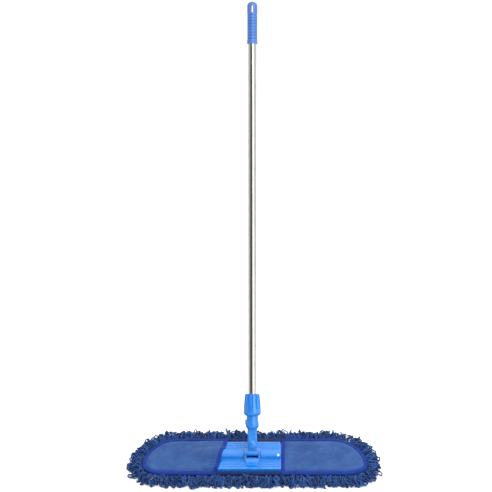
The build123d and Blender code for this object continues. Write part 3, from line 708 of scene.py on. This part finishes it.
def strands(lines, radius, turn_length, shades, rng):
    """Closed two-ply strands along open centrelines, given as an array of (loops, points, 3)."""
    loops, steps = lines.shape[:2]
    ahead = np.gradient(lines, axis=1)
    ahead /= np.linalg.norm(ahead, axis=-1)[..., None]
    side = np.cross(ahead, np.array([0.31, 0.17, 0.93]))
    side /= np.maximum(np.linalg.norm(side, axis=-1), 1e-9)[..., None]
    for i in range(1, steps):
        carried = side[:, i - 1] - (side[:, i - 1] * ahead[:, i]).sum(-1)[:, None] * ahead[:, i]
        side[:, i] = carried / np.maximum(np.linalg.norm(carried, axis=-1), 1e-9)[:, None]
    up = np.cross(ahead, side)
    steps_long = np.linalg.norm(np.diff(lines, axis=1), axis=-1)
    walked = np.concatenate([np.zeros((loops, 1)), np.cumsum(steps_long, 1)], 1)
    angle = np.arange(STRAND_SIDES) * 2 * math.pi / STRAND_SIDES
    twist = walked * 2 * math.pi / turn_length + rng.uniform(0, 2 * math.pi, (loops, 1))
    lobes = 1 + 0.24 * np.cos(2 * (angle[None, None, :] - twist[..., None]))
    thick = radius * rng.uniform(0.85, 1.15, (loops, 1, 1)) * lobes
    thick[:, 0] *= 0.45
    thick[:, -1] *= 0.45
    ring = side[..., None, :] * np.cos(angle)[:, None] + up[..., None, :] * np.sin(angle)[:, None]
    points = lines[:, :, None, :] + ring * thick[..., None]
    one = grid_faces(steps, STRAND_SIDES, closed_columns=True)
    first = np.array([[3, 2, 1, 0], [4, 3, 0, 7], [5, 4, 7, 6]])
    last = (steps - 1) * STRAND_SIDES + np.array([[0, 1, 2, 3], [7, 0, 3, 4], [6, 7, 4, 5]])
    one = np.concatenate([one, first, last])
    faces = (one[None] + (np.arange(loops) * steps * STRAND_SIDES)[:, None, None]).reshape(-1, 4)
    shade = np.repeat(shades, steps * STRAND_SIDES)
    around = np.arange(STRAND_SIDES) / STRAND_SIDES * 2 * math.pi * radius / MM
    around = np.broadcast_to(around, points.shape[:3])
    down = np.broadcast_to(walked[..., None] / MM, points.shape[:3])
    return points.reshape(-1, 3), faces, shade, np.stack([around.ravel(), down.ravel()], 1)


def dress(piece, shade, strand_place):
    """Keeps each strand's dye and its position along the strand on the mesh, for its material."""
    mesh = piece.data
    mesh.attributes.new("shade", "FLOAT", "POINT").data.foreach_set("value", shade.astype(np.float32))
    layer = mesh.uv_layers.new(name="strand")
    corner = np.zeros(len(mesh.loops), np.int32)
    mesh.loops.foreach_get("vertex_index", corner)
    layer.data.foreach_set("uv", strand_place[corner].astype(np.float32).ravel())


def fringe_lines(edge, out, rng, layer, steps=40):
    """One loop of yarn from each point of the edge: out, round and back, curled and resting on the floor."""
    count = len(edge)
    ahead = np.stack([-out[:, 1], out[:, 0]], 1)
    skew = rng.normal(0, 0.30, count)
    away = out * np.cos(skew)[:, None] + ahead * np.sin(skew)[:, None]
    beside = -out * np.sin(skew)[:, None] + ahead * np.cos(skew)[:, None]
    behind = np.maximum(out[:, 1], 0)
    reach = layer["reach"] * rng.uniform(0.66, 1.08, count) * (1 + 0.06 * behind)
    open_ = layer["open"] * rng.uniform(0.35, 1.7, count)
    p = np.linspace(0.02, 0.98, steps)[None, :]
    far = np.sin(math.pi * p) ** 0.85 * reach[:, None]
    wide = np.sin(2 * math.pi * p) * open_[:, None] * (0.35 + 0.65 * np.sin(math.pi * p))
    share = far / reach[:, None]
    roll = rng.uniform(-1.3, 1.3, count)[:, None] + rng.normal(0, 2.2, count)[:, None] * share
    lateral, height = wide * np.cos(roll), wide * np.sin(roll)
    for frequency, size in ((2.0, 2.0), (3.7, 1.5), (6.1, 0.8)):
        swing = size * MM * np.sin(math.pi * p) ** 0.5
        lateral = lateral + swing * np.sin(2 * math.pi * frequency * p + rng.uniform(0, 6.28, (count, 1)))
        height = height + swing * np.sin(2 * math.pi * frequency * p + rng.uniform(0, 6.28, (count, 1)))
        far = far + 0.7 * swing * np.sin(2 * math.pi * frequency * p + rng.uniform(0, 6.28, (count, 1)))
    start = layer["start"]
    rest = layer["rest"] * rng.uniform(0.4, 1.5, count)[:, None] + 3.5 * MM * behind[:, None] * layer["upper"]
    drop = rest + (start - rest) * (1 - share) ** 1.3 + height
    arch = layer["arch"] * rng.uniform(0.3, 1.6, count)[:, None] * np.sin(math.pi * share) ** 1.5
    z = drop + arch
    lowest = 1.9 * MM
    z = lowest + soft_max(z - lowest, np.zeros_like(z), 1.2 * MM)
    under = start + 0.3 * MM
    z = np.where(far < 1.5 * MM, np.minimum(z, under), z)
    base = edge - out * layer["inset"]
    place = base[:, None, :] + away[:, None, :] * far[..., None] + beside[:, None, :] * lateral[..., None]
    return np.concatenate([place, z[..., None]], -1)


# Each layer: the spacing, reach and openness of its loops, the heights where they start and come to rest,
# how far they arch and are sewn in, and the share of the rear edge's lift that they take
FRINGE_FIELDS = ("spacing", "reach", "open", "start", "rest", "arch", "inset")
FRINGE_LAYERS = tuple(
    dict(zip(FRINGE_FIELDS, [value * MM for value in sizes]), upper=upper)
    for sizes, upper in (
        ((6.4, 40, 6.5, 4.5, 2.2, 1.0, 2.0), 0.0),
        ((6.6, 41, 6.5, 8.0, 4.0, 3.0, 2.5), 0.5),
        ((6.4, 37, 5.5, 10.0, 7.0, 4.5, 2.5), 1.0),
        ((7.0, 25, 4.5, 11.0, 9.5, 3.0, 1.0), 1.0),
    )
)


def make_fringe(material):
    """Four lengths of looped yarn round the pad, split where the CAD splits them."""
    rng = np.random.default_rng(7)
    groups = {"front": [], "rear": [], "left": [], "right": []}
    front_turn, rear_turn = PAD_HALF - FRONT_RX, PAD_HALF - REAR_RX
    total = pad_edge(8)[2]
    for layer in FRINGE_LAYERS:
        edge, out, _ = pad_edge(int(total / layer["spacing"]))
        edge = edge + np.stack([-out[:, 1], out[:, 0]], 1) * rng.normal(0, 1.0 * MM, len(edge))[:, None]
        lines = fringe_lines(edge, out, rng, layer)
        shades = np.clip(rng.normal(0.42, 0.32, len(edge)), 0, 1)
        off = edge[:, 0] - PAD_X
        at_front = edge[:, 1] < WIDEST_Y
        straight = np.where(at_front, np.abs(off) < front_turn, np.abs(off) < rear_turn)
        side, end = np.where(at_front, "front", "rear"), np.where(off < 0, "left", "right")
        name = np.where(straight, side, end)
        for key in groups:
            groups[key].append((lines[name == key], shades[name == key]))
    pieces = []
    for key, found in groups.items():
        lines = np.concatenate([f[0] for f in found])
        shades = np.concatenate([f[1] for f in found])
        points, faces, shade, place = strands(lines, STRAND_R, STRAND_TURN, shades, rng)
        points[:, 2] = np.maximum(points[:, 2], 0.15 * MM)
        piece = make_piece(f"fringe_{key}_yarn", points, faces, material)
        dress(piece, shade, place)
        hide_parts(f"fringe_{key}")
        pieces.append(piece)
    return pieces


def make_pile(material):
    """The working face underneath: short yarn loops sewn to the backing in rows, over packed yarn."""
    rng = np.random.default_rng(19)
    pitch = 9.5 * MM
    xs = np.arange(EDGE_LOW.x + 8 * MM, EDGE_HIGH.x - 7 * MM, pitch)
    ys = np.arange(PAD_FRONT + 7 * MM, PAD_REAR - 6 * MM, pitch)
    x, y = (a.ravel() for a in np.meshgrid(xs, ys, indexing="ij"))
    x = x + rng.normal(0, 1.2 * MM, len(x))
    y = y + rng.normal(0, 1.2 * MM, len(y))
    front, rear = edge_ys(x, 7 * MM)
    keep = (y > front) & (y < rear)
    x, y = x[keep], y[keep]
    steps = 14
    p = np.linspace(0, 1, steps)[None, :]
    turn = rng.uniform(0, math.pi, len(x))[:, None]
    span = rng.uniform(5.0, 8.0, len(x))[:, None] * MM
    bend = rng.normal(0, 2.0, len(x))[:, None] * MM
    along = -np.cos(math.pi * p) * span
    over = np.sin(math.pi * p) * bend + rng.normal(0, 0.5 * MM, (len(x), steps))
    top, low = PILE_TOP - 1.6 * MM, 2.3 * MM
    z = top - (top - low) * np.sin(math.pi * p) ** 0.6 * rng.uniform(0.85, 1.0, (len(x), 1))
    lines = np.stack([
        x[:, None] + along * np.cos(turn) - over * np.sin(turn),
        y[:, None] + along * np.sin(turn) + over * np.cos(turn),
        z,
    ], -1)
    shades = np.clip(rng.normal(0.4, 0.2, len(x)), 0, 1)
    points, faces, shade, place = strands(lines, PILE_R, PILE_TURN, shades, rng)
    columns, rows = 150, 44
    gx = PAD_X - (PAD_HALF - 2.2 * MM) * np.cos(np.linspace(0.02, math.pi - 0.02, columns))
    front, rear = edge_ys(gx, 2.0 * MM)
    v = uneven(rows, 0.3)[None, :]
    gy = front[:, None] * (1 - v) + rear[:, None] * v
    gx = np.repeat(gx[:, None], rows, 1)
    gz = np.full_like(gx, PILE_TOP - 2.6 * MM) + ripples(gx, gy, 8, 14 * MM, 7 * MM, 0.5 * MM)
    base = np.stack([gx, gy, gz], -1)
    base_points, base_faces = sheet_mesh(base, 4.2 * MM)
    all_points = np.concatenate([points, base_points])
    all_faces = np.concatenate([faces, base_faces + len(points)])
    piece = make_piece("pad_pile_yarn", all_points, all_faces, material)
    dress(piece, np.concatenate([shade, np.full(len(base_points), 0.15)]),
          np.concatenate([place, base_points[:, :2] / MM]))
    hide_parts("pad_pile")
    return piece


# ---------------------------------------------------------------- put together

def main():
    make_camera()
    make_lights()
    make_world()
    bpy.context.scene.view_settings.view_transform = "Standard"

    blue = moulded_plastic("blue_plastic", srgb(20, 119, 206), srgb(120, 175, 240), 0.24, 0.05)
    grip = moulded_plastic("grip_plastic", srgb(58, 108, 184), srgb(120, 158, 220), 0.34, 0.12, GRIP_RIBS)
    # Painted highlight: the lock button's near-white colour stands in for the glint on its plated dome
    glint_white = moulded_plastic("lock_button_painted_glint", srgb(225, 232, 240), srgb(200, 205, 215), 0.25, 0.04)
    black = moulded_plastic("plug_plastic", srgb(30, 30, 34), srgb(90, 90, 95), 0.5, 0.08)
    tube = steel("stainless_tube", srgb(188, 186, 182), 0.12, 0.012)
    plated = steel("plated_steel", srgb(200, 202, 206), 0.2, 0.3)
    for nodes, material in (
        (("centre_plate", "left_board", "right_board", "swivel_bracket"), blue),
        (("knuckle", "handle_socket", "lock_nut", "swivel_pin", "tilt_pin"), blue),
        (("hand_grip",), grip),
        (("lock_button",), glint_white),
        (("tube_plug", "spring_seat"), black),
        (("handle_tube",), tube),
        (("board_rivets", "button_spring", "bracket_screws", "swivel_washer"), plated),
    ):
        for node in nodes:
            set_finish(node, material)

    pocket = woven("pocket_cloth", srgb(18, 50, 108), srgb(52, 90, 146), 0.9 * MM, 0.12, 0.12)
    tape = woven("binding_tape", srgb(7, 32, 108), srgb(20, 56, 144), 0.7 * MM, 0.10, 0.06)
    backing = woven("backing_cloth", srgb(9, 22, 66), srgb(24, 44, 98), 0.9 * MM, 0.12, 0.1)
    thread = woven("sewing_thread", srgb(20, 44, 130), srgb(44, 76, 170), 0.4 * MM, 0.05, 0.1)
    brown = woven("overlock_thread", srgb(70, 48, 72), srgb(120, 88, 108), 0.4 * MM, 0.05, 0.1)
    yarn = twisted_yarn("pad_yarn", srgb(1, 12, 56), srgb(50, 98, 172))

    pile = make_pile(yarn)
    fringe = make_fringe(yarn)
    runs = edge_runs(1240)
    plate_end = PLATE_LOW.x - 6 * MM
    left_widen = EDGE_WIDEN * ease((plate_end - runs["left"][0][:, 0]) / WIDEN_RUN)
    left_edging, left_edge_seam = make_edging(
        runs["left"], left_widen, tape, "left_binding_tape", "left_binding")
    right_edging, right_edge_seam = make_edging(
        runs["right"], EDGE_WIDEN, tape, "right_binding_tape", "right_binding")
    front_edging, _ = make_edging(
        runs["front"], 0.0, backing, "front_edge_cloth", "pad_backing")
    rear_edging, rear_edge_seam = make_edging(
        runs["rear"], 0.0, backing, "rear_edge_cloth", "pad_backing")
    left, left_flat, left_area = make_pocket(-1, LEFT_MOUTH, "left_pocket_cloth", "left_pocket", pocket)
    right, right_flat, right_area = make_pocket(1, RIGHT_MOUTH, "right_pocket_cloth", "right_pocket", pocket)
    left_hem, left_seam = make_hem(-1, LEFT_MOUTH, "left_hem_tape", "left_hem", tape)
    right_hem, right_seam = make_hem(1, RIGHT_MOUTH, "right_hem_tape", "right_hem", tape)
    seams = [left_edge_seam, right_edge_seam, left_seam, right_seam]
    stitches = make_stitches("pad_stitches", seams, thread)
    overlock = make_stitches(
        "edge_overlock", [rear_edge_seam, rear_edge_seam + np.array([1.8, -1.6, 0.1]) * MM],
        brown, 0.55 * MM)
    cloth, cloth_area = make_backing(backing)

    corners = [(x * FLOOR_HALF, y * FLOOR_HALF, 0) for x, y in ((-1, -1), (1, -1), (1, 1), (-1, 1))]
    floor = bpy.data.objects.new("floor", bpy.data.meshes.new("floor"))
    floor.data.from_pydata(corners, [], [(0, 1, 2, 3)])
    floor.data.materials.append(floor_finish())
    bpy.context.scene.collection.objects.link(floor)


main()
